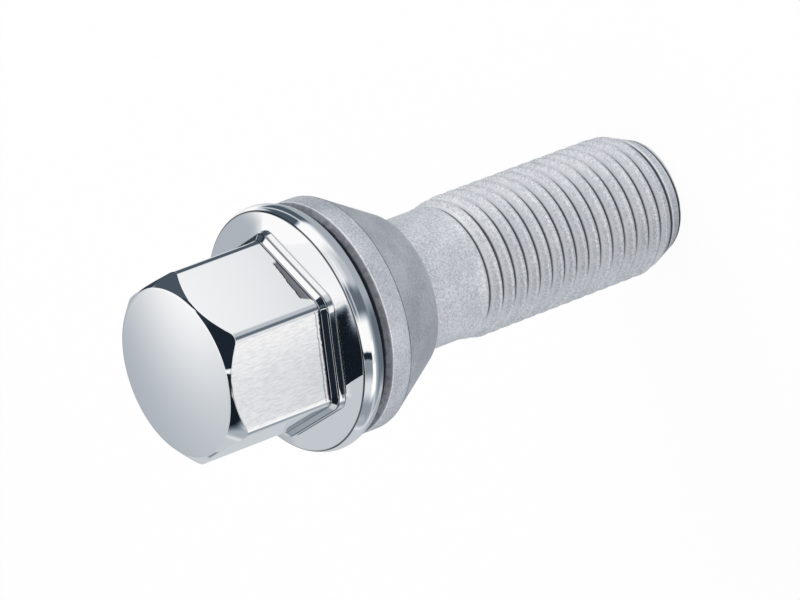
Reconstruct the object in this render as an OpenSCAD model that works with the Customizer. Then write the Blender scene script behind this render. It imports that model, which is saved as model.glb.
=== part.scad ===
// Wheel bolt with a captive conical seat ring and a bright pressed cap.
// It stands on its threaded tip with the head up; the origin is the centre of the tip face.

/* [Thread and shank] */
// Outer diameter of the thread
thread_d = 13.9; // [13.6:0.1:16]
// Length of the threaded end, tip chamfer included
thread_h = 23.1; // [16:0.1:40]
// Diameter of the flat end face at the tip
tip_d = 11.3; // [9:0.1:12]
// Height of the lead-in chamfer at the tip
tip_chamfer_h = 3.2; // [1:0.1:5]
// Diameter of the plain shank
shank_d = 12.9; // [12:0.1:13]
// Height of the flare that joins the shank to the thread
flare_h = 2.5; // [1:0.1:5]
// Length of the plain shank, from the flare to the flange
shank_h = 16.1; // [14:0.1:30]
// Radius of the fillet under the flange
shank_fillet = 0.7; // [0.2:0.1:1]

/* [Head] */
// Width across the flats of the hexagon, measured over the cap
hex_af = 16.6; // [15:0.1:19]
// Height of the capped hexagon above the flange face
hex_h = 12.3; // [9:0.1:16]
// Radius of the six long edges of the hexagon
hex_edge_r = 1.2; // [0.8:0.1:2]
// Diameter of the round end face
face_d = 16.2; // [14:0.1:16.5]
// How far the crown of the end face stands above its edge
face_crown = 0.15; // [0.05:0.05:0.4]
// Height of the corner chamfer, measured on the hexagon's edges
corner_chamfer_h = 1.35; // [0.8:0.05:2]
// Thickness of the steel flange at its edge
flange_core_h = 1.5; // [1:0.1:3]

/* [Cap] */
// Thickness of the pressed sheet
cap_wall = 0.45; // [0.3:0.05:0.6]
// Clearance between the cap and the steel inside it
cap_gap = 0.05; // [0.03:0.01:0.08]
// Largest diameter of the rounded rim
rim_d = 23.9; // [22.6:0.1:26]
// Drop of the flange face from the hexagon to the rim
face_drop = 0.5; // [0.2:0.05:0.8]
// How far the rim swells between its front edge and its middle
rim_bulge = 0.24; // [0.1:0.02:0.3]
// Radius of the crease at the front edge of the rim
crease_r = 0.3; // [0.2:0.05:0.4]
// Radius of the bend at the back edge of the rim
hem_r = 0.5; // [0.3:0.05:0.6]
// How far the rim is turned in behind the steel flange
hem_w = 1.6; // [0.8:0.1:2.5]
// How far the raised foot stands out from the flats
foot_w = 0.6; // [0.2:0.05:0.8]
// Height of the upright side of the foot
foot_h = 0.73; // [0.4:0.01:1]
// Height of the sloping shoulder above the foot
shoulder_h = 0.5; // [0.3:0.05:0.8]

/* [Seat ring] */
// How far the plain band stands in from the rim
ring_inset = 0.55; // [0.1:0.05:1]
// Height of the plain band
ring_band_h = 2.05; // [1:0.05:4]
// Height of the front chamfer
ring_chamfer_h = 0.75; // [0.4:0.05:1.2]
// Width of the front chamfer
ring_chamfer_w = 0.9; // [0.4:0.05:1.2]
// Included angle of the conical seat
seat_angle = 60; // [54:1:66]
// Diameter of the small end
seat_small_d = 15.65; // [15:0.05:17]
// Radius of the small end's outer edge
seat_edge_r = 0.25; // [0.1:0.05:0.3]
// Radial clearance between the bore and the shank
ring_play = 0.25; // [0.1:0.05:0.4]
// Chamfer at both mouths of the bore
bore_chamfer = 0.5; // [0.2:0.1:0.6]
// Gap between the ring and the back of the rim
ring_gap = 0.45; // [0.2:0.05:2]

/* [Hidden] */
$fn = 96;

// Amount by which a cut runs past the face it cuts
over = 0.1;
// How far the foot's slopes run on inside the flats, so that they meet the rounded corners too
shoulder_over = 0.3;
// Segments in a small rounded edge and in a long swell
edge_steps = 6;
swell_steps = 10;

thread_r = thread_d / 2;
tip_r = tip_d / 2;
shank_r = shank_d / 2;
sheet = cap_wall + cap_gap;

// Heights from the tip face upwards
flare_z = thread_h;
shank_z = flare_z + flare_h;
flange_back_z = shank_z + shank_h;
hem_z = flange_back_z - sheet;
flange_edge_z = flange_back_z + flange_core_h;
crease_z = flange_edge_z + sheet;
face_z = crease_z + face_drop;
top_z = face_z + hex_h;

// Radii of the head
rim_r = rim_d / 2;
crease_x = rim_r - rim_bulge;
core_flange_r = crease_x - sheet;
core_af = hex_af - 2 * sheet;
foot_af = hex_af + 2 * foot_w;
face_tilt = atan(face_drop / (crease_x - foot_af / 2));

// Places on the seat ring
ring_r = rim_r - ring_inset;
ring_bore_r = shank_r + ring_play;
seat_small_r = seat_small_d / 2;
ring_top_z = hem_z - ring_gap;
band_top_z = ring_top_z - ring_chamfer_h;
band_low_z = band_top_z - ring_band_h;
seat_h = (ring_r - seat_small_r) / tan(seat_angle / 2);
ring_low_z = band_low_z - seat_h;

// Points of an arc about (x, y), from angle a to angle b
function arc(x, y, r, a, b, steps) =
    [for (i = [0:steps]) let (t = a + (b - a) * i / steps) [x + r * cos(t), y + r * sin(t)]];

// Radius of the circle through the ends of a chord and its middle, raised by the given height
function swell_radius(half_chord, height) = (half_chord * half_chord + height * height) / (2 * height);

// Outline of a hexagon with rounded corners, its corners on the x axis and every 60 degrees
module rounded_hexagon(af, corner_r) {
    reach = (af / 2 - corner_r) / cos(30);
    polygon([for (k = [0:5])
        each arc(reach * cos(60 * k), reach * sin(60 * k), corner_r, 60 * k - 30, 60 * k + 30, edge_steps)]);
}

// Slope of the chamfer cone, from the edge of the end face to the hexagon's rounded corner
function corner_reach(af, corner_r) = (af / 2 - corner_r) / cos(30) + corner_r;
chamfer_slope = corner_chamfer_h / (corner_reach(hex_af, hex_edge_r) - face_d / 2);

// Round envelope that trims the top of a hexagon: crowned end face, then the chamfer cone
module chamfer_envelope(low, high, end_r, reach) {
    crown_r = swell_radius(end_r, face_crown);
    crown_a = asin(end_r / crown_r);
    rim_low = high - face_crown;
    drop = chamfer_slope * (reach - end_r);
    rotate_extrude()
        polygon(concat(
            [[0, low], [reach, low], [reach, rim_low - drop]],
            arc(0, high - crown_r, crown_r, 90 - crown_a, 90, edge_steps)));
}

// Hexagonal head from low to high, with its end chamfered
module chamfered_hexagon(af, corner_r, end_r, low, high) {
    intersection() {
        translate([0, 0, low])
            linear_extrude(high - low) rounded_hexagon(af, corner_r);
        chamfer_envelope(low, high, end_r, corner_reach(af, corner_r) + over);
    }
}

// Raised hexagonal foot with a sloping shoulder along each flat
module cap_foot() {
    slope = foot_w / shoulder_h;
    rise = shoulder_h + shoulder_over;
    cut_rise = rise + over;
    reach = foot_af / 2;
    difference() {
        translate([0, 0, face_z - over])
            linear_extrude(over + foot_h + rise) rounded_hexagon(foot_af, hex_edge_r + foot_w);
        for (k = [0:5])
            rotate([0, 0, 60 * k + 30])
                translate([0, foot_af, face_z + foot_h])
                    rotate([90, 0, 0])
                        linear_extrude(2 * foot_af)
                            polygon([
                                [reach, 0],
                                [reach + over, -over / slope],
                                [reach + over, cut_rise],
                                [reach - slope * cut_rise, cut_rise]]);
    }
}

// Outside of the cap's round flange: sloping face, crease, swelling rim and turned-in back edge
module cap_flange_body() {
    half = (crease_z - hem_z - crease_r - hem_r) / 2;
    swell_r = swell_radius(half, rim_bulge);
    swell_a = asin(half / swell_r);
    middle = hem_z + hem_r + half;
    rotate_extrude()
        polygon(concat(
            [[0, hem_z]],
            arc(crease_x - hem_r, hem_z + hem_r, hem_r, -90, -swell_a, edge_steps),
            arc(rim_r - swell_r, middle, swell_r, -swell_a, swell_a, swell_steps),
            arc(crease_x - crease_r, crease_z - crease_r, crease_r, swell_a, 90 - face_tilt, edge_steps),
            [[foot_af / 2, face_z], [0, face_z]]));
}

// Room inside the cap's flange, open at the back inside the hem
module cap_flange_room() {
    room_r = core_flange_r + cap_gap;
    low = hem_z + cap_wall;
    rotate_extrude()
        polygon([
            [0, hem_z - over],
            [room_r - hem_w, hem_z - over],
            [room_r - hem_w, low],
            [room_r, low],
            [room_r, flange_edge_z + cap_gap],
            [core_af / 2, face_z - cap_wall],
            [0, face_z - cap_wall]]);
}

module cap() {
    color("gainsboro")
        difference() {
            union() {
                chamfered_hexagon(hex_af, hex_edge_r, face_d / 2, face_z - over, top_z);
                cap_foot();
                cap_flange_body();
            }
            chamfered_hexagon(hex_af - 2 * cap_wall, hex_edge_r - cap_wall, face_d / 2 - cap_wall / 2,
                flange_edge_z, top_z - cap_wall);
            cap_flange_room();
        }
}

// Turned part of the bolt: tip chamfer, thread envelope, flare, shank, fillet and flange
module bolt_turning() {
    fillet = arc(shank_r + shank_fillet, flange_back_z - shank_fillet, shank_fillet, 180, 90, edge_steps);
    rotate_extrude()
        polygon(concat(
            [[0, 0], [tip_r, 0], [thread_r, tip_chamfer_h], [thread_r, flare_z], [shank_r, shank_z]],
            fillet,
            [[core_flange_r, flange_back_z],
             [core_flange_r, flange_edge_z],
             [core_af / 2, face_z - sheet],
             [0, face_z - sheet]]));
}

module bolt() {
    color("silver") {
        bolt_turning();
        chamfered_hexagon(core_af, hex_edge_r - sheet, face_d / 2 - sheet, flange_edge_z, top_z - sheet);
    }
}

// Loose conical ring that seats in the wheel and turns on the shank
module seat_ring() {
    half = seat_angle / 2;
    chamfer_x = ring_bore_r + bore_chamfer;
    color("darkgray")
        rotate_extrude()
            polygon(concat(
                [[ring_bore_r, ring_low_z + bore_chamfer], [chamfer_x, ring_low_z]],
                arc(seat_small_r - seat_edge_r * (1 - sin(half)) / cos(half), ring_low_z + seat_edge_r,
                    seat_edge_r, -90, -half, edge_steps),
                [[ring_r, band_low_z],
                 [ring_r, band_top_z],
                 [ring_r - ring_chamfer_w, ring_top_z],
                 [chamfer_x, ring_top_z],
                 [ring_bore_r, ring_top_z - bore_chamfer]]));
}

bolt();
cap();
seat_ring();
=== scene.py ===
# %% [markdown]
# # A wheel bolt with a bright cap and a loose seat ring
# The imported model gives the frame: where each piece is and which body it moves with. Sizes are written
# in millimetres, and MM turns them into Blender's metres. The bolt stands on the tip of its thread, head
# up, as the solids do.

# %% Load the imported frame
import math

import bmesh
import bpy
from mathutils import Matrix, Vector


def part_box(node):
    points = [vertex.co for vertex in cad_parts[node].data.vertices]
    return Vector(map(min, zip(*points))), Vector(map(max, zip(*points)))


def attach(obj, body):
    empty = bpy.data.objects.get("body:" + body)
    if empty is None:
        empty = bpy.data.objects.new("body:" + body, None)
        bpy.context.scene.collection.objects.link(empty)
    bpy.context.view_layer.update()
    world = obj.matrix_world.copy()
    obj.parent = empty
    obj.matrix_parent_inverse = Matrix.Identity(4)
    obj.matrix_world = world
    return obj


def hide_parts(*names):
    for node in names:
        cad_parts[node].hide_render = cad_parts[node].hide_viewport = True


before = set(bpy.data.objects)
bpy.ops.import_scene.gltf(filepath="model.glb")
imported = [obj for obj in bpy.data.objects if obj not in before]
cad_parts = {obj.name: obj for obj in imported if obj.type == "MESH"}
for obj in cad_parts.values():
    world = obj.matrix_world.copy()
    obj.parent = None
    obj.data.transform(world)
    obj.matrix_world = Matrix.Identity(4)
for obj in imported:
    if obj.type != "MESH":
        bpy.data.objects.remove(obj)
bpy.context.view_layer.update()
MM = 0.001
print("solids:", sorted(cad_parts))

# %% [markdown]
# ## The camera
# The photograph was taken with a long lens from above the head, and the picture is turned, so that
# the bolt lies across it. A camera is aimed at a point near the middle of the bolt, from an azimuth
# and an elevation, and is then rolled about its own line of sight.

# %% Place the camera
AIM = Vector((-0.95, -0.41, 30.43)) * MM
CAMERA_DISTANCE = 606.7 * MM
CAMERA_AZIMUTH = math.radians(-66.43)
CAMERA_ELEVATION = math.radians(34.11)
CAMERA_ROLL = math.radians(-110.79)
SENSOR_WIDTH = 36.0
LENS = 292.5
NEAREST_SEEN = 10 * MM


def direction(azimuth, elevation):
    """Unit vector towards a point of the compass, raised by an elevation."""
    level = math.cos(elevation)
    return Vector((level * math.cos(azimuth), level * math.sin(azimuth), math.sin(elevation)))


def place_camera():
    data = bpy.data.cameras.new("studio_camera")
    data.sensor_width = SENSOR_WIDTH
    data.lens = LENS
    data.clip_start = NEAREST_SEEN
    camera = bpy.data.objects.new("studio_camera", data)
    bpy.context.scene.collection.objects.link(camera)
    backwards = direction(CAMERA_AZIMUTH, CAMERA_ELEVATION)
    upright = backwards.to_track_quat("Z", "Y").to_matrix().to_4x4()
    roll = Matrix.Rotation(CAMERA_ROLL, 4, "Z")
    camera.matrix_world = Matrix.Translation(AIM + backwards * CAMERA_DISTANCE) @ upright @ roll
    bpy.context.scene.camera = camera
    return camera


camera = place_camera()
print("camera stands at", [round(c / MM) for c in camera.matrix_world.translation], "mm")

# %% [markdown]
# ## Sums in a material
# A finish is mostly arithmetic on patterns: a grain plus a stain, times a mask. `Value` wraps one
# socket and adds a Math node for each sum, so a finish reads as an expression. `Finish` makes a
# material and adds any other node from its type, its settings and its inputs.


# %% Helpers for materials
class Value:
    """One number of a material, which sums add Math nodes to."""

    def __init__(self, finish, socket):
        self.finish = finish
        self.socket = socket

    def sum(self, operation, *terms):
        return self.finish.add("ShaderNodeMath", {"operation": operation}, dict(enumerate(terms)))

    def __add__(self, other):
        return self.sum("ADD", self, other)

    def __sub__(self, other):
        return self.sum("SUBTRACT", self, other)

    def __rsub__(self, other):
        return self.sum("SUBTRACT", other, self)

    def __mul__(self, other):
        return self.sum("MULTIPLY", self, other)

    __radd__ = __add__
    __rmul__ = __mul__

    def power(self, exponent):
        return self.sum("POWER", self, exponent)

    def between(self, low, high):
        """0 below low, 1 above high and a smooth rise between them."""
        inputs = {"Value": self, "From Min": low, "From Max": high}
        return self.finish.add("ShaderNodeMapRange", {"interpolation_type": "SMOOTHSTEP"}, inputs)

    def within(self, low, high, soft):
        """1 from low to high and 0 outside them, with soft edges."""
        return self.between(low, low + soft) * (1 - self.between(high - soft, high))

    def spread(self, half):
        """A noise with more contrast: 0 where it is half below its middle, 1 where it is half above."""
        return self.between(0.5 - half, 0.5 + half)


class Finish:
    """A node tree that is built by expressions: a material's or the world's."""

    def __init__(self, owner):
        owner.use_nodes = True
        self.owner = owner
        self.tree = owner.node_tree
        self.tree.nodes.clear()

    def add(self, kind, settings=None, inputs=None, output=0):
        """Adds a node with its settings and inputs, and returns one of its outputs."""
        node = self.tree.nodes.new(kind)
        for name, setting in (settings or {}).items():
            setattr(node, name, setting)
        for name, given in (inputs or {}).items():
            if isinstance(given, Value):
                self.tree.links.new(given.socket, node.inputs[name])
            else:
                node.inputs[name].default_value = given
        return Value(self, node.outputs[output]) if node.outputs else node

    def place(self, scale=(1, 1, 1)):
        """Object coordinates, scaled."""
        coordinates = self.add("ShaderNodeTexCoord", output="Object")
        return self.add("ShaderNodeMapping", inputs={"Vector": coordinates, "Scale": scale})

    def axes(self, place):
        """The x, y and z of a place, in metres."""
        return [self.add("ShaderNodeSeparateXYZ", inputs={0: place}, output=axis) for axis in "XYZ"]

    def attribute(self, name):
        return self.add("ShaderNodeAttribute", {"attribute_name": name}, output="Fac")

    def noise(self, place, scale, detail=2.0, roughness=0.5):
        inputs = {"Vector": place, "Scale": scale, "Detail": detail, "Roughness": roughness}
        return self.add("ShaderNodeTexNoise", inputs=inputs)

    def blend(self, share, first, second):
        """Mixes two colours."""
        node = {"data_type": "RGBA"}
        return self.add("ShaderNodeMix", node, {0: share, 6: first, 7: second}, output=2)

    def bump(self, height, depth):
        return self.add("ShaderNodeBump", inputs={"Height": height, "Distance": depth})

    def surface(self, inputs):
        shader = self.add("ShaderNodeBsdfPrincipled", inputs=inputs)
        self.add("ShaderNodeOutputMaterial", inputs={"Surface": shader})
        return self.owner


def new_finish(name):
    return Finish(bpy.data.materials.new(name))


print("material helpers are ready")

# %% [markdown]
# ## Zinc flake on the bolt
# The bolt is dipped in a paint of zinc and aluminium flakes. It bakes to a light bluish grey that is
# only half metallic. It could be one flat colour, but then it would look like plastic, so fine noise
# moves the colour, the roughness and the bump together. The mesh of the thread has an attribute,
# groove, which is 0 on a crest and 1 in a root. It is used to paint the flanks lighter, as painted light,
# and the roots dark, as painted shade.

# %% Make the bolt's finish
FLAKE_SCALE = 4600
SPECK_SCALE = 11000
CLOUD_SCALE = 380
FLAKE_DARK = (0.50, 0.52, 0.56, 1)
FLAKE_LIGHT = (0.90, 0.91, 0.94, 1)
# Painted light on the thread's flanks and painted shade in its roots
PAINTED_FLANK_LIGHT = (0.95, 0.955, 0.97, 1)
PAINTED_ROOT_SHADE = (0.03, 0.034, 0.045, 1)
HALF_METALLIC = 0.5
FLAKE_RELIEF = 0.025 * MM


def zinc_flake():
    finish = new_finish("zinc_flake_steel")
    place = finish.place()
    flakes = finish.noise(place, FLAKE_SCALE, 2.0, 0.6)
    specks = finish.noise(place, SPECK_SCALE, 1.0, 0.5)
    clouds = finish.noise(place, CLOUD_SCALE, 3.0, 0.55)
    tone = flakes.spread(0.14) * 0.55 + specks.spread(0.15) * 0.3 + clouds.spread(0.15) * 0.15
    coat = finish.blend(tone, FLAKE_DARK, FLAKE_LIGHT)
    groove = finish.attribute("groove")
    # Painted light: the flanks of the thread are made lighter
    flank = groove.between(0.3, 0.6) * (1 - groove.between(0.8, 0.9))
    lighter = finish.blend(flank * 0.55, coat, PAINTED_FLANK_LIGHT)
    # Painted shade: the roots of the thread are made dark
    root = groove.between(0.77, 0.95)
    return finish.surface({
        "Base Color": finish.blend(root * 0.94, lighter, PAINTED_ROOT_SHADE),
        "Metallic": HALF_METALLIC,
        "Roughness": flakes * 0.2 + 0.34,
        "Normal": finish.bump(flakes + specks * 0.4, FLAKE_RELIEF),
    })


ZINC_FLAKE = zinc_flake()
print("finish:", ZINC_FLAKE.name)

# %% [markdown]
# ## The ring's coat
# The ring has the same kind of coat, but it was tumbled in bulk, so it is coarser and has darker
# patches and small dents. Two sizes of grain and a slow mottling give that. The gap behind the rim gets
# painted shade, the band's top edge a painted highlight, and the cone is painted a little darker as
# painted shade. Painting these by hand would need an image, so the mesh carries the gap and the edge as
# an attribute, crease: up to 1 where painted shade lies, and below 0 on the painted highlight. A dark
# line along the cone's edge rides on it too.

# %% Make the ring's finish
BAND_HEIGHT = 2.05
FRONT_CHAMFER_HEIGHT = 0.75
CONE_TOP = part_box("seat_ring")[1].z - (FRONT_CHAMFER_HEIGHT + BAND_HEIGHT) * MM
CONE_BLEND = 0.1 * MM
GRAIN_SCALE = 5200
FINE_GRAIN_SCALE = 13000
DENT_SCALE = 1500
MOTTLE_SCALE = 300
RING_DARK = (0.36, 0.38, 0.425, 1)
RING_LIGHT = (0.75, 0.765, 0.81, 1)
# Painted shade on the cone, a painted highlight on the band's top edge and painted shade behind the rim
PAINTED_CONE_SHADE = (0.1, 0.105, 0.12, 1)
PAINTED_EDGE_HIGHLIGHT = (0.95, 0.955, 0.97, 1)
RING_PAINTED_DARK = (0.018, 0.024, 0.038, 1)
DENT_RELIEF = 0.035 * MM


def ring_coat():
    finish = new_finish("seat_ring_steel")
    place = finish.place()
    grain = finish.noise(place, GRAIN_SCALE, 3.0, 0.65)
    specks = finish.noise(place, FINE_GRAIN_SCALE, 1.0, 0.5)
    dents = finish.noise(place, DENT_SCALE, 2.0, 0.5)
    mottle = finish.noise(place, MOTTLE_SCALE, 3.0, 0.6)
    tone = grain.spread(0.18) * 0.5 + specks.spread(0.2) * 0.2 + mottle.spread(0.2) * 0.3
    coat = finish.blend(tone, RING_DARK, RING_LIGHT)
    # Painted shade: the cone is made a little darker
    cone = 1 - finish.axes(place)[2].between(CONE_TOP - CONE_BLEND, CONE_TOP)
    darker = finish.blend(cone * 0.15, coat, PAINTED_CONE_SHADE)
    crease = finish.attribute("crease")
    # Painted highlight: the band's top edge is made light
    painted_highlight = (0 - crease).between(0.2, 0.9) * grain.between(0.3, 0.5)
    highlighted_coat = finish.blend(painted_highlight, darker, PAINTED_EDGE_HIGHLIGHT)
    # Painted shade in the gap behind the rim, from the crease attribute, varied in patches; it also
    # darkens a line along the cone's edge
    patches = (dents.spread(0.15) + grain.spread(0.15) - 1) * 0.7
    painted_ring_dark = crease + crease * (1 - crease) * patches
    return finish.surface({
        "Base Color": finish.blend(painted_ring_dark, highlighted_coat, RING_PAINTED_DARK),
        "Metallic": HALF_METALLIC,
        "Roughness": grain * 0.2 + 0.36,
        "Normal": finish.bump(grain * 0.6 + dents, DENT_RELIEF),
    })


RING_COAT = ring_coat()
print("finish:", RING_COAT.name)

# %% [markdown]
# ## Bright plating on the cap
# Polished sheet with bright plating is a mirror, so its look comes from what stands round it. One flat
# was brushed before it was plated. Dark marks are painted just above the shoulder: a crescent, which is a
# painted reflection of something dark, and a thin line on one flat, and a ragged line on the next. The
# bends get painted shade and painted dark reflections too. They could be drawn in a picture, but a mask
# made from each point's place stays sharp at any distance. Each mark is measured up from the shoulder,
# along its flat.

# %% Places of the marks on the cap
ACROSS_FLATS = 16.6
FLAT_HEIGHT = 11.04 * MM
SHOULDER_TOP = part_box("cap")[1].z - FLAT_HEIGHT
# A point is on a flat when it is further out than this
FLAT_REACH = (ACROSS_FLATS / 2 - 0.05) * MM
FLAT_EDGE = 0.04 * MM
CRESCENT_AZIMUTH = math.radians(-30)
CRESCENT_WIDTH = 0.66 * MM
CRESCENT_TAPER = -0.1
CRESCENT_LEFT = -4.0 * MM
CRESCENT_RIGHT = 1.8 * MM
CRESCENT_TIP = 0.3 * MM
OUTLINE_WIDTH = 0.14 * MM
THIN_LINE = 0.14 * MM
RAGGED_LINE = 0.26 * MM
FRINGE_LOW = 0.4 * MM
FRINGE_HIGH = 0.62 * MM
RAGGEDNESS = 0.35 * MM
print("the marks start", round(SHOULDER_TOP / MM, 2), "mm above the floor")


# %% Masks of the marks
# The crescent and the thin line along the shoulder are painted dark reflections
def crescent_mark(edge, along, across, wobble):
    """How dark the crescent, its outline and the thin line along the shoulder are."""
    flat = across.between(FLAT_REACH, FLAT_REACH + FLAT_EDGE) * edge.between(0.0, FLAT_EDGE)
    past = edge - (along * CRESCENT_TAPER + CRESCENT_WIDTH + wobble)
    left = (along - edge * 0.6).between(CRESCENT_LEFT, CRESCENT_LEFT + CRESCENT_TIP)
    right = 1 - (along + wobble * 2).between(CRESCENT_RIGHT - CRESCENT_TIP, CRESCENT_RIGHT)
    crescent = flat * (1 - past.between(0.0, 0.05 * MM)) * left * right
    outline = crescent * past.between(-OUTLINE_WIDTH, -0.08 * MM)
    line_end = along.between(CRESCENT_LEFT, CRESCENT_LEFT + 0.2 * MM)
    thin = flat * (1 - edge.between(THIN_LINE / 2, THIN_LINE)) * line_end
    return crescent * 0.8 + outline * 0.16 + thin * 0.75


def ragged_mark(torn):
    """How dark the ragged line and the fringe above it are."""
    line = 1 - torn.between(RAGGED_LINE - 0.06 * MM, RAGGED_LINE)
    fringe = torn.between(FRINGE_LOW, FRINGE_LOW + 0.06 * MM)
    fringe = fringe * (1 - torn.between(FRINGE_HIGH - 0.08 * MM, FRINGE_HIGH))
    return line * 0.95 + fringe * 0.5


print("mask helpers are ready")

# %% Make the cap's finish
PLATING = (0.90, 0.905, 0.915, 1)
BRUSHED_COLOUR = (0.30, 0.32, 0.36, 1)
CAP_PAINTED_DARK = (0.02, 0.028, 0.048, 1)
BRUSH_SCALE = (5200, 5200, 1100)
HAZE_SCALE = 90
WOBBLE_SCALE = 1900
BRUSH_RELIEF = 0.003 * MM


def bright_plating():
    finish = new_finish("bright_cap")
    place = finish.place()
    east, north, up = finish.axes(place)
    haze = finish.noise(place, HAZE_SCALE, 3.0, 0.5)
    streaks = finish.noise(finish.place(BRUSH_SCALE), 1.0, 3.0, 0.65)
    wobble = (finish.noise(place, WOBBLE_SCALE, 3.0, 0.65) - 0.5) * RAGGEDNESS
    edge = up - SHOULDER_TOP
    above = edge.between(-0.1 * MM, 0.05 * MM)
    brushed = (0 - north).between(FLAT_REACH, FLAT_REACH + FLAT_EDGE) * above
    across = east * math.cos(CRESCENT_AZIMUTH) + north * math.sin(CRESCENT_AZIMUTH)
    along = north * math.cos(CRESCENT_AZIMUTH) - east * math.sin(CRESCENT_AZIMUTH)
    # Painted dark reflections of the crescent and thin line, and the ragged dark line on the brushed flat
    painted_cap_dark = crescent_mark(edge, along, across, wobble) + brushed * ragged_mark(edge + wobble)
    # Painted shade and painted dark reflections in the bends, from the crease attribute
    painted_cap_dark = painted_cap_dark + finish.attribute("crease") * 0.95
    brush = brushed * (streaks.spread(0.2) * 0.24 + 0.13)
    bright = finish.blend(brush, PLATING, BRUSHED_COLOUR)
    return finish.surface({
        "Base Color": finish.blend(painted_cap_dark, bright, CAP_PAINTED_DARK),
        "Metallic": 1.0,
        "Roughness": haze * 0.02 + brushed * 0.05 + 0.012,
        "Normal": finish.bump(brushed * streaks, BRUSH_RELIEF),
    })


BRIGHT_PLATING = bright_plating()
print("finish:", BRIGHT_PLATING.name)

# %% [markdown]
# ## Profiles with soft edges
# Every piece here was turned or pressed, so each can be drawn as a profile in the plane through the
# axis. A real edge is never sharp. A Bevel modifier gives all edges one width, so `soften` is used
# instead: it takes a profile's corners, each with its own radius, and puts an arc of a few points in
# place of each corner.

# %% Helpers for profiles
ARC_STEPS = 5
# Largest share of a side that the rounding at one of its ends may take
LONGEST_REACH = 0.48


def soften(corners):
    """Points (out, up, crease) of a profile from its corners (out, up, radius, crease), in millimetres."""
    flat = [Vector(corner[:2]) for corner in corners]
    points = [flat[0].to_3d()]
    for k in range(1, len(corners) - 1):
        radius, crease = (corners[k] + (0, 0))[2:4]
        if not radius:
            points.append(Vector((*flat[k], crease)))
            continue
        back = flat[k - 1] - flat[k]
        ahead = flat[k + 1] - flat[k]
        half = back.angle(ahead) / 2
        reach = min(radius / math.tan(half), LONGEST_REACH * min(back.length, ahead.length))
        radius = reach * math.tan(half)
        back.normalize()
        ahead.normalize()
        centre = flat[k] + (back + ahead).normalized() * (radius / math.sin(half))
        start = (flat[k] + back * reach - centre).normalized()
        end = (flat[k] + ahead * reach - centre).normalized()
        for step in range(ARC_STEPS + 1):
            share = step / ARC_STEPS
            point = centre + start.slerp(end, share) * radius
            points.append(Vector((*point, crease * (1 - (2 * share - 1) ** 2))))
    points.append(flat[-1].to_3d())
    return points


def arc(out, up, radius, start, end, steps, crease=0):
    """Corners of an arc about (out, up), between two angles in degrees."""
    corners = []
    for k in range(steps + 1):
        angle = math.radians(start + (end - start) * k / steps)
        bell = crease * (1 - (2 * k / steps - 1) ** 2)
        corners.append((out + radius * math.cos(angle), up + radius * math.sin(angle), 0, bell))
    return corners


print("a softened corner has", ARC_STEPS + 1, "points")

# %% Helpers for shells
MERGE_DISTANCE = 0.0015 * MM
SHORTEST_EDGE = 0.0005 * MM


def shell(name, profiles, azimuths):
    """A surface through one profile for each azimuth, all with as many points, once round the axis."""
    mesh = bmesh.new()
    # The crease attribute carries painted shade, and below 0 a painted highlight
    crease = mesh.verts.layers.float.new("crease")
    columns = []
    for azimuth, profile in zip(azimuths, profiles):
        across, along = math.cos(azimuth), math.sin(azimuth)
        column = [mesh.verts.new((p.x * across * MM, p.x * along * MM, p.y * MM)) for p in profile]
        for vertex, point in zip(column, profile):
            vertex[crease] = point.z
        columns.append(column)
    for left, right in zip(columns, columns[1:] + columns[:1]):
        for k in range(len(left) - 1):
            mesh.faces.new((left[k], right[k], right[k + 1], left[k + 1]))
    return finish_mesh(name, mesh)


def finish_mesh(name, mesh):
    """Closes seams and poles, turns the faces outwards and makes the object."""
    bmesh.ops.remove_doubles(mesh, verts=mesh.verts, dist=MERGE_DISTANCE)
    bmesh.ops.dissolve_degenerate(mesh, edges=mesh.edges, dist=SHORTEST_EDGE)
    bmesh.ops.recalc_face_normals(mesh, faces=mesh.faces)
    for face in mesh.faces:
        face.smooth = True
    open_edges = sum(1 for edge in mesh.edges if len(edge.link_faces) != 2)
    data = bpy.data.meshes.new(name)
    mesh.to_mesh(data)
    mesh.free()
    piece = bpy.data.objects.new(name, data)
    bpy.context.scene.collection.objects.link(piece)
    print(name, "has", len(data.polygons), "faces and", open_edges, "open edges")
    return piece


def top_and_radius(node):
    """A node's lowest and highest level and its radius, in millimetres."""
    low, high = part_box(node)
    return low.z / MM, high.z / MM, high.y / MM


cap_low, cap_top, rim_radius = top_and_radius("cap")
ring_low, ring_top, ring_radius = top_and_radius("seat_ring")
bolt_top, flange_radius = top_and_radius("bolt")[1:]
print("cap from", round(cap_low, 2), "to", round(cap_top, 2), "mm, rim radius", round(rim_radius, 2))

# %% [markdown]
# ## The pressed cap
# One blank of sheet is drawn over the hexagon, so every bend follows the hexagon below it. It could be
# cut from solids with booleans, but those leave ragged triangles that a mirror shows. A profile taken
# at any azimuth has the same bends in the same order: end disc, chamfer, flat, shoulder, foot, flange
# face, crease, swelling rim and hem. Only the radii change as the azimuth passes from a corner to a
# flat, so the shell is made of profiles side by side, closer together round the corners.

# %% Sizes of the cap
EDGE_RADIUS = 1.2
DISC_RADIUS = 8.1
DISC_CROWN = 0.15
CHAMFER_SLOPE = 1.04
SHOULDER_HEIGHT = 0.5
FOOT_WIDTH = 0.6
FOOT_HEIGHT = 0.73
HEXAGON_HEIGHT = 12.3
FACE_DROP = 0.5
RIM_BULGE = 0.24
CREASE_RADIUS = 0.3
HEM_RADIUS = 0.5
SHEET = 0.45
HEM_WIDTH = 1.6
CHAMFER_ROUND = 0.12
SHOULDER_ROUND = 0.3
FOOT_ROUND = 0.28
BASE_ROUND = 0.15
HEM_ROUND = 0.15
INSIDE_ROUND = 0.1
INSIDE_STEP = 0.1
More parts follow.
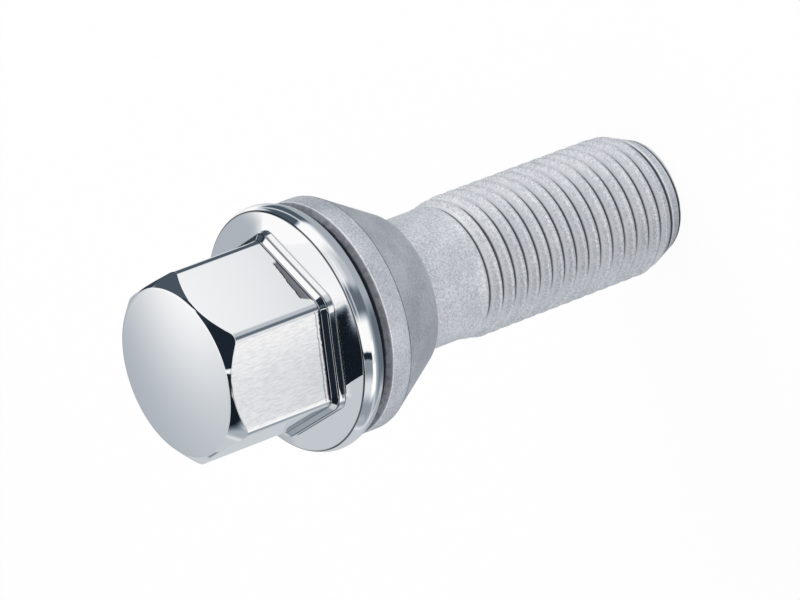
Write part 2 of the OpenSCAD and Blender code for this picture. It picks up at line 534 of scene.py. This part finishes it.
# Painted shade and painted dark reflections in the cap's bends, carried by the crease attribute
SHOULDER_SHADE = 0.75
FOOT_SHADE = 0.9
BASE_SHADE = 0.5
CREASE_SHADE = 1
HEM_SHADE = 0.9
BEND_STEPS = 6
SWELL_STEPS = 12
DISC_ROWS = (0, 0.15, 0.3, 0.45, 0.6, 0.75, 0.88, 0.97)
print("the foot is", round(ACROSS_FLATS + 2 * FOOT_WIDTH, 1), "mm across the flats")

# %% Make the cap


def hexagon_radius(azimuth, across_flats, edge_radius):
    """Distance from the axis to the outline of a hexagon with rounded corners."""
    turn = abs((azimuth + math.pi / 6) % (math.pi / 3) - math.pi / 6)
    centre = (across_flats / 2 - edge_radius) / math.cos(math.pi / 6)
    bend_ends = math.atan2(edge_radius / 2, centre + edge_radius * math.cos(math.pi / 6))
    if turn < bend_ends:
        return centre * math.cos(turn) + math.sqrt(edge_radius ** 2 - (centre * math.sin(turn)) ** 2)
    return across_flats / 2 / math.cos(math.pi / 6 - turn)


def cap_profile(azimuth):
    """The cap's section, outside from the top down and inside back up."""
    flat = hexagon_radius(azimuth, ACROSS_FLATS, EDGE_RADIUS)
    foot = hexagon_radius(azimuth, ACROSS_FLATS + 2 * FOOT_WIDTH, EDGE_RADIUS + FOOT_WIDTH)
    inner = hexagon_radius(azimuth, ACROSS_FLATS - 2 * SHEET, EDGE_RADIUS - SHEET)
    disc_edge = cap_top - DISC_CROWN
    face = cap_top - HEXAGON_HEIGHT
    crease = face - FACE_DROP
    crease_radius = rim_radius - RIM_BULGE
    inner_disc = DISC_RADIUS - SHEET / 2
    hem_edge = crease_radius - SHEET - HEM_WIDTH
    disc = [(DISC_RADIUS * share, cap_top - DISC_CROWN * share ** 2, 0) for share in DISC_ROWS]
    half = (crease - cap_low - CREASE_RADIUS - HEM_RADIUS) / 2
    swell = (half ** 2 + RIM_BULGE ** 2) / (2 * RIM_BULGE)
    lean = math.degrees(math.asin(half / swell))
    tilt = math.degrees(math.atan2(FACE_DROP, crease_radius - foot))
    rim = (
        arc(crease_radius - CREASE_RADIUS, crease - CREASE_RADIUS, CREASE_RADIUS,
            90 - tilt, lean, BEND_STEPS, CREASE_SHADE)
        + arc(rim_radius - swell, cap_low + HEM_RADIUS + half, swell, lean, -lean, SWELL_STEPS)
        + arc(crease_radius - HEM_RADIUS, cap_low + HEM_RADIUS, HEM_RADIUS,
              -lean, -90, BEND_STEPS, HEM_SHADE)
    )
    outside = disc + [
        (DISC_RADIUS, disc_edge, CHAMFER_ROUND),
        (flat, disc_edge - CHAMFER_SLOPE * (flat - DISC_RADIUS), CHAMFER_ROUND),
        (flat, face + FOOT_HEIGHT + SHOULDER_HEIGHT, SHOULDER_ROUND, SHOULDER_SHADE),
        (foot, face + FOOT_HEIGHT, FOOT_ROUND, FOOT_SHADE),
        (foot, face, BASE_ROUND, BASE_SHADE),
    ] + rim + [(hem_edge, cap_low, HEM_ROUND)]
    inside = [
        (hem_edge, cap_low + SHEET, HEM_ROUND),
        (crease_radius - SHEET, cap_low + SHEET, INSIDE_ROUND),
        (crease_radius - SHEET, crease - SHEET, INSIDE_ROUND),
        (foot - SHEET, face - SHEET, INSIDE_ROUND),
        (inner, face - SHEET + INSIDE_STEP, INSIDE_ROUND),
        (inner, disc_edge - SHEET - CHAMFER_SLOPE * (inner - inner_disc), INSIDE_ROUND),
        (inner_disc, disc_edge - SHEET, INSIDE_ROUND),
        (0, cap_top - SHEET, 0),
    ]
    return soften(outside + inside)


CORNER_STEPS = [-6, -5, -4.2, -3.4, -2.6, -1.8, -1, 0, 1, 1.8, 2.6, 3.4, 4.2, 5, 6]
FLAT_COLUMNS = 20
FLAT_SPAN = 60 - 2 * CORNER_STEPS[-1]
FLAT_STEPS = [CORNER_STEPS[-1] + FLAT_SPAN * k / FLAT_COLUMNS for k in range(1, FLAT_COLUMNS)]
cap_azimuths = [math.radians(60 * k + a) for k in range(6) for a in CORNER_STEPS + FLAT_STEPS]
cap = shell("pressed_cap", [cap_profile(a) for a in cap_azimuths], cap_azimuths)
cap.data.materials.append(BRIGHT_PLATING)

# %% [markdown]
# ## The seat ring
# A turned ring: a plain band, a chamfer that faces the flange, and the cone that seats in the wheel.
# Its edges are softened by tumbling. A Screw modifier on a drawn section would give its shape, but the
# helper for the cap also stores where painted shade lies, so the ring is one profile turned by that
# helper.

# %% Make the seat ring
RING_COLUMNS = 180
FRONT_CHAMFER_WIDTH = 0.9
SMALL_END_RADIUS = 7.825
SMALL_END_ROUND = 0.25
BORE_RADIUS = 6.7
BORE_CHAMFER = 0.5
BORE_ROUND = 0.15
CONE_EDGE_ROUND = 0.3
CONE_EDGE_DARK = 0.8
BAND_EDGE_ROUND = 0.12
# The band's top edge gets a painted highlight, marked by a crease below 0
HIGHLIGHT_EDGE = -1
# How far up the front chamfer a point is, and how much painted shade lies there
CHAMFER_SHADE = ((0.15, 0.55), (0.55, 0.6), (0.68, 1), (1, 1))


def ring_profile():
    band_top = ring_top - FRONT_CHAMFER_HEIGHT
    middle = (BORE_RADIUS, (ring_low + ring_top) / 2, 0)
    chamfer = [
        (ring_radius - share * FRONT_CHAMFER_WIDTH, band_top + share * FRONT_CHAMFER_HEIGHT, 0, painted_ring_dark)
        for share, painted_ring_dark in CHAMFER_SHADE
    ]
    return soften([
        middle,
        (BORE_RADIUS, ring_low + BORE_CHAMFER, BORE_ROUND),
        (BORE_RADIUS + BORE_CHAMFER, ring_low, INSIDE_ROUND),
        (SMALL_END_RADIUS, ring_low, SMALL_END_ROUND),
        (ring_radius, band_top - BAND_HEIGHT, CONE_EDGE_ROUND, CONE_EDGE_DARK),
        (ring_radius, band_top, BAND_EDGE_ROUND, HIGHLIGHT_EDGE),
    ] + chamfer + [
        (BORE_RADIUS + BORE_CHAMFER, ring_top, 0, 1),
        (BORE_RADIUS, ring_top - BORE_CHAMFER, BORE_ROUND),
        middle,
    ])


def around(columns):
    """Azimuths of columns that are spaced evenly round the axis."""
    return [2 * math.pi * k / columns for k in range(columns)]


ring = shell("conical_ring", [ring_profile()] * RING_COLUMNS, around(RING_COLUMNS))
ring.data.materials.append(RING_COAT)

# %% [markdown]
# ## The thread, by Geometry Nodes
# A real thread is rolled between dies, which press the groove in along a helix. A Screw modifier could
# sweep one tooth round the axis, but the runout and the tip would need cutting by hand. A thread
# follows a rule, so nodes make it: a flat grid is rolled into a tube whose rows climb one pitch in each
# turn. Each point's radius then depends on how far it is from the root of the groove. The grooves fade
# out on the flare, and the cone at the tip cuts them off.

# %% Sizes of the thread
PITCH = 1.5
CREST_RADIUS = 6.95
ROOT_RADIUS = 6.08
ROOT_FLAT = 0.2
# Height of a root at azimuth 0
FIRST_ROOT = 24.55
TIP_RADIUS = 5.65
TIP_CHAMFER = 3.2
FLARE_LOW = 23.1
FLARE_HIGH = 25.6
SHANK_RADIUS = 6.45
THREAD_TOP = 25.3
RUNOUT = 1.4
ROOT_ROUND = 0.12
CREST_ROUND = 0.10
TIP_ROUND = 0.25
TIP_END = 0.4
# How the painted light and shade of the grooves fade out on the runout
GROOVE_SHADE_FADE = 0.15
FLANK_SLOPE = math.sqrt(3)
FLARE_SLOPE = (CREST_RADIUS - SHANK_RADIUS) / (FLARE_HIGH - FLARE_LOW)
THREAD_COLUMNS = 160
ROWS_A_TURN = 20
print("the groove is", round(CREST_RADIUS - ROOT_RADIUS, 2), "mm deep")


# %% Helper for node trees
class Recipe:
    """A Geometry Nodes tree that is built by expressions."""

    def __init__(self, name):
        self.tree = bpy.data.node_groups.new(name, "GeometryNodeTree")
        self.tree.interface.new_socket("Geometry", in_out="OUTPUT", socket_type="NodeSocketGeometry")
        self.sizes = self.tree.nodes.new("NodeGroupInput")
        self.inputs = {}

    def size(self, name, default, kind="NodeSocketFloat"):
        socket = self.tree.interface.new_socket(name, in_out="INPUT", socket_type=kind)
        socket.default_value = default
        self.inputs[name] = (socket.identifier, default)
        return Value(self, self.sizes.outputs[name])

    add = Finish.add

    def sum(self, operation, *terms):
        return self.add("ShaderNodeMath", {"operation": operation}, dict(enumerate(terms)))

    def result(self, geometry, finish):
        coated = self.add("GeometryNodeSetMaterial", inputs={"Geometry": geometry, "Material": finish})
        plain = self.add("GeometryNodeRealizeInstances", inputs={"Geometry": coated})
        end = self.tree.nodes.new("NodeGroupOutput")
        self.tree.links.new(plain.socket, end.inputs["Geometry"])

    def run(self, name):
        """Applies the tree to an empty mesh and returns the mesh that it makes."""
        carrier = bpy.data.objects.new(name, bpy.data.meshes.new(name))
        bpy.context.scene.collection.objects.link(carrier)
        modifier = carrier.modifiers.new(name, "NODES")
        modifier.node_group = self.tree
        for identifier, default in self.inputs.values():
            modifier[identifier] = default
        bpy.context.view_layer.update()
        made = carrier.evaluated_get(bpy.context.evaluated_depsgraph_get())
        mesh = bpy.data.meshes.new_from_object(made)
        bpy.data.objects.remove(carrier)
        return mesh


print("the node tree helper is ready")


# %% Make the thread
def thread_recipe():
    recipe = Recipe("rolled_thread")
    pitch = recipe.size("pitch", PITCH)
    crest = recipe.size("crest radius", CREST_RADIUS)
    root = recipe.size("root radius", ROOT_RADIUS)
    root_flat = recipe.size("root flat", ROOT_FLAT)
    first_root = recipe.size("height of a root at azimuth 0", FIRST_ROOT)
    tip = recipe.size("tip radius", TIP_RADIUS)
    tip_chamfer = recipe.size("tip chamfer", TIP_CHAMFER)
    flare_low = recipe.size("foot of the flare", FLARE_LOW)
    top = recipe.size("top of the thread", THREAD_TOP)
    runout = recipe.size("runout", RUNOUT)
    columns = recipe.size("columns", THREAD_COLUMNS + 1, "NodeSocketInt")
    turns = math.ceil(THREAD_TOP / PITCH) + 1
    rows = recipe.size("rows", turns * ROWS_A_TURN + 1, "NodeSocketInt")

    grid = {"Size X": 1.0, "Size Y": 1.0, "Vertices X": columns, "Vertices Y": rows}
    blank = recipe.add("GeometryNodeMeshGrid", inputs=grid)
    spot = recipe.add("GeometryNodeInputPosition")
    turn = recipe.add("ShaderNodeSeparateXYZ", inputs={0: spot}, output="X") + 0.5
    climb = recipe.add("ShaderNodeSeparateXYZ", inputs={0: spot}, output="Y") + 0.5

    height = (climb * turns - 1 + turn) * pitch
    height = recipe.sum("MINIMUM", recipe.sum("MAXIMUM", height, 0.0), top)
    phase = recipe.sum("FRACT", recipe.sum("DIVIDE", height - first_root, pitch) - turn + 0.5 + turns)
    from_root = recipe.sum("ABSOLUTE", phase - 0.5) * pitch
    rise = (from_root - root_flat * 0.5) * FLANK_SLOPE
    depth = crest - root
    rise = recipe.sum("SMOOTH_MAX", rise, 0.0, ROOT_ROUND)
    rise = recipe.sum("SMOOTH_MIN", rise, depth, CREST_ROUND)
    strength = recipe.sum("DIVIDE", top - height, runout)
    strength = recipe.sum("MINIMUM", recipe.sum("MAXIMUM", strength, 0.0), 1.0)
    cut = (depth - rise) * strength
    flare = recipe.sum("MAXIMUM", height - flare_low, 0.0) * FLARE_SLOPE
    threaded = crest - flare - cut
    tip_cone = tip + recipe.sum("DIVIDE", crest - tip, tip_chamfer) * height
    radius = recipe.sum("SMOOTH_MIN", threaded, tip_cone, TIP_ROUND)
    end = recipe.sum("MINIMUM", recipe.sum("DIVIDE", height, TIP_END), 1.0)
    radius = radius * end + tip * (1 - end)

    angle = turn * (2 * math.pi)
    rounded = {
        "X": recipe.sum("COSINE", angle) * radius * MM,
        "Y": recipe.sum("SINE", angle) * radius * MM,
        "Z": height * MM,
    }
    where = recipe.add("ShaderNodeCombineXYZ", inputs=rounded)
    groove = recipe.sum("DIVIDE", depth - rise, depth) * recipe.sum("POWER", strength, GROOVE_SHADE_FADE)
    store = {"Geometry": blank, "Name": "groove", "Value": groove}
    marked = recipe.add("GeometryNodeStoreNamedAttribute", {"data_type": "FLOAT"}, store)
    rolled = recipe.add("GeometryNodeSetPosition", inputs={"Geometry": marked, "Position": where})
    merge = {"Geometry": rolled, "Distance": SHORTEST_EDGE * 2}
    closed = recipe.add("GeometryNodeMergeByDistance", inputs=merge)
    recipe.result(closed, ZINC_FLAKE)
    return recipe


thread = thread_recipe().run("rolled_thread")
print("the thread has", len(thread.polygons), "faces")

# %% [markdown]
# ## The rest of the bolt
# Head, shank and flare were forged and turned. They could be a second object, but then a seam would
# show on the flare. They are profiles again, with as many columns as the thread, so that the two
# meshes meet point to point and close into one skin.

# %% Make the bolt in one piece
CAP_CLEARANCE = 0.05
FLANGE_BACK = cap_low + SHEET + CAP_CLEARANCE
FLANGE_HEIGHT = 1.5
FLANGE_ROUND = 0.15
FLARE_ROUND = 2.0
SHANK_FILLET = 0.7


def bolt_profile(azimuth):
    """The bolt's section above the thread."""
    inside = SHEET + CAP_CLEARANCE
    core = hexagon_radius(azimuth, ACROSS_FLATS - 2 * inside, EDGE_RADIUS - inside)
    core_disc = DISC_RADIUS - inside
    face = cap_top - HEXAGON_HEIGHT - inside
    shoulder = bolt_top - DISC_CROWN
    return soften([
        (CREST_RADIUS - FLARE_SLOPE * (THREAD_TOP - FLARE_LOW), THREAD_TOP, 0),
        (SHANK_RADIUS, FLARE_HIGH, FLARE_ROUND),
        (SHANK_RADIUS, FLANGE_BACK, SHANK_FILLET),
        (flange_radius, FLANGE_BACK, FLANGE_ROUND),
        (flange_radius, FLANGE_BACK + FLANGE_HEIGHT, FLANGE_ROUND),
        (core, face, INSIDE_ROUND),
        (core, shoulder - CHAMFER_SLOPE * (core - core_disc), INSIDE_ROUND),
        (core_disc, shoulder, INSIDE_ROUND),
        (0, bolt_top, 0),
    ])


def bolt_skin():
    azimuths = around(THREAD_COLUMNS)
    mesh = bmesh.new()
    upper = shell("upper_bolt", [bolt_profile(a) for a in azimuths], azimuths)
    tip = shell("tip_face", [[Vector((TIP_RADIUS, 0, 0)), Vector((0, 0, 0))]] * THREAD_COLUMNS, azimuths)
    for part in (upper.data, tip.data, thread):
        mesh.from_mesh(part)
    for part in (upper, tip):
        bpy.data.objects.remove(part)
    return finish_mesh("threaded_bolt", mesh)


bolt = bolt_skin()
bolt.data.materials.append(ZINC_FLAKE)

# %% [markdown]
# ## The studio
# Bright metal shows its surroundings. A photographer stands white, grey and black cards round it, and
# calls the black ones flags. Real planes would cast shadows and show behind the bolt, so the cards here
# are only a pattern of directions, in the materials of the floor and the world. Mirror rays alone see
# it. The pattern starts white, and each later card covers the earlier ones.

# %% Cards round the bolt
# Left and right azimuth, low and high elevation, softness of the edges (all in degrees), brightness
CARDS = {
    "floor": (-200, 200, -130, -16, 34, 0.48),
    "floor on the camera's side": (-186, -56, -130, -34, 36, 0.20),
    "grey wall on the right": (109.5, 184, -42, 66, 8, 0.66),
    "low screen before that wall": (86, 130, -30, 36, 9, 0.53),
    "grey wall on the left": (-184, -156, -36, 44, 9, 0.50),
    "small grey card": (143, 160, -16, 11, 5, 0.34),
    "light grey screen": (-62, -4, -30, 22, 16, 0.79),
    "slate card, standing": (18, 74, -14, 42, 6, 0.12),
    "slate card, lying": (14, 70, -48, -10, 10, 0.13),
    "black strip beside it": (66, 95, -9, 11, 5, 0.07),
    "dark gap round the camera": (-84, -42, -60, 24, 13, 0.19),
    "grey table": (-60, -14, -60, -2, 16, 0.60),
    "grey curtain on the left": (-174, -106, -14, 26, 9, 0.80),
    "its fold near the pole": (-136, -104, -22, 26, 13, 0.34),
    "its fold near the wall": (-176, -142, -38, 26, 13, 0.38),
    "narrow white card": (-111, -97, -36, -14, 3, 1.12),
    "wide white card": (-146, -115.5, -36, -14, 4, 1.12),
    "black pole": (-115, -106, -16, 52, 2.5, 0.03),
    "black flag, right end": (-30, 12, 36, 62, 5, 0.05),
    "black flag, low corner": (4, 44, 33, 44, 3, 0.05),
    "black flag": (-178, -12, 43, 66, 5, 0.03),
    "black flag, left end": (-178, -124, 28, 77, 7, 0.02),
    "white hole in the flag": (-99, -90, 49, 63, 2.5, 1.0),
}
OPEN_TENT = 1.05
RED_POWER = 1.25
GREEN_POWER = 1.12


def surroundings(finish, azimuth, elevation):
    """Colour that the bolt mirrors from a direction: darker cards are bluer."""
    light = OPEN_TENT
    for left, right, low, high, soft, shade in CARDS.values():
        cover = azimuth.within(left, right, soft) * elevation.within(low, high, soft)
        light = light + (shade - light) * cover
    channels = {"Red": light.power(RED_POWER), "Green": light.power(GREEN_POWER), "Blue": light}
    return finish.add("ShaderNodeCombineColor", inputs=channels)


print("cards round the bolt:", len(CARDS))

# %% [markdown]
# ## The floor
# A white sheet of paper. The camera sees it almost white, with only a trace of the bolt's shadow, as on
# a cut-out picture. A mirror ray that meets it turns its place into a direction, as seen from the rim of
# the cap, and so finds the card that stands there.

# %% Make the floor
RIM_HEIGHT = 43 * MM
RIM_REACH = 12 * MM
FLOOR_RADIUS = 3.0
FLOOR_SEGMENTS = 64
FLOOR_GLOW = 0.942
WHITE = (1, 1, 1, 1)
PAPER = (0.80, 0.80, 0.80, 1)


def studio_floor():
    finish = new_finish("studio_floor")
    seen, mirrored, through = [
        finish.add("ShaderNodeLightPath", output=kind)
        for kind in ("Is Camera Ray", "Is Glossy Ray", "Is Transmission Ray")
    ]
    place = finish.place()
    east, north = finish.axes(place)[:2]
    azimuth = north.sum("ARCTAN2", north, east) * math.degrees(1)
    distance = finish.add("ShaderNodeVectorMath", {"operation": "LENGTH"}, {0: place}, output="Value")
    elevation = distance.sum("ARCTAN2", -RIM_HEIGHT, distance - RIM_REACH) * math.degrees(1)
    colour = finish.blend(mirrored, WHITE, surroundings(finish, azimuth, elevation))
    paper = finish.add("ShaderNodeBsdfDiffuse", inputs={"Color": PAPER})
    glow = finish.add("ShaderNodeEmission", inputs={"Color": colour, "Strength": 1.0})
    share = (seen + through) * FLOOR_GLOW + mirrored
    mixed = finish.add("ShaderNodeMixShader", inputs={0: share, 1: paper, 2: glow})
    finish.add("ShaderNodeOutputMaterial", inputs={"Surface": mixed})
    mesh = bmesh.new()
    bmesh.ops.create_circle(mesh, cap_ends=True, segments=FLOOR_SEGMENTS, radius=FLOOR_RADIUS)
    floor = finish_mesh("studio_floor", mesh)
    floor.data.materials.append(finish.owner)
    return floor


floor = studio_floor()

# %% [markdown]
# ## The tent
# White cloth all round gives an even light with no hard shadow. It is the world's background: the
# camera sees white, the coats get a little less light than that, and mirror rays see the cards.

# %% Make the tent
TENT_LIGHT = 0.78


def studio_tent():
    world = bpy.data.worlds.new("studio_tent")
    bpy.context.scene.world = world
    finish = Finish(world)
    seen = finish.add("ShaderNodeLightPath", output="Is Camera Ray")
    mirrored = finish.add("ShaderNodeLightPath", output="Is Glossy Ray")
    way = finish.add("ShaderNodeTexCoord", output="Generated")
    east, north, up = finish.axes(way)
    azimuth = north.sum("ARCTAN2", north, east) * math.degrees(1)
    elevation = up.sum("ARCSINE", up) * math.degrees(1)
    plain = seen + (1 - seen) * TENT_LIGHT
    even = finish.add("ShaderNodeCombineColor", inputs={"Red": plain, "Green": plain, "Blue": plain})
    colour = finish.blend(mirrored, even, surroundings(finish, azimuth, elevation))
    glow = finish.add("ShaderNodeBackground", inputs={"Color": colour, "Strength": 1.0})
    finish.add("ShaderNodeOutputWorld", inputs={"Surface": glow})


studio_tent()
print("light of the tent:", TENT_LIGHT)

# %% [markdown]
# ## The lamps
# Even light alone leaves round metal flat, so two large soft lamps shade it: one high on the right and
# a weaker one in front, near the floor. They are kept out of the mirror, which shows the cards alone.

# %% Place the lamps
LAMP_AIM = Vector((0, 0, 30)) * MM


def softbox(name, azimuth, elevation, distance, size, power):
    """A square lamp that faces the middle of the bolt."""
    data = bpy.data.lights.new(name, "AREA")
    data.shape = "SQUARE"
    data.size = size
    data.energy = power
    lamp = bpy.data.objects.new(name, data)
    bpy.context.scene.collection.objects.link(lamp)
    lamp.visible_glossy = False
    way = direction(math.radians(azimuth), math.radians(elevation))
    turned = way.to_track_quat("Z", "Y").to_matrix().to_4x4()
    lamp.matrix_world = Matrix.Translation(LAMP_AIM + way * distance) @ turned
    return lamp


lamps = [
    softbox("key_softbox", azimuth=25, elevation=45, distance=0.5, size=0.35, power=1.3),
    softbox("front_softbox", azimuth=-80, elevation=8, distance=0.5, size=0.30, power=0.9),
]
print("lamps:", [lamp.name for lamp in lamps])

# %% [markdown]
# ## Hand over to the frame
# Each piece rides on its body, so that the ring turns when its joint does. It hides the plain solid
# that it stands for.

# %% Ride and replace
for piece, body, node, slot in (
    (bolt, "bolt_body", "bolt", "zinc_flake_steel"),
    (cap, "bolt_body", "cap", "bright_cap"),
    (ring, "ring_body", "seat_ring", "seat_ring_steel"),
):
    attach(piece, body)
    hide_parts(node)

bpy.context.scene.view_settings.view_transform = "Standard"
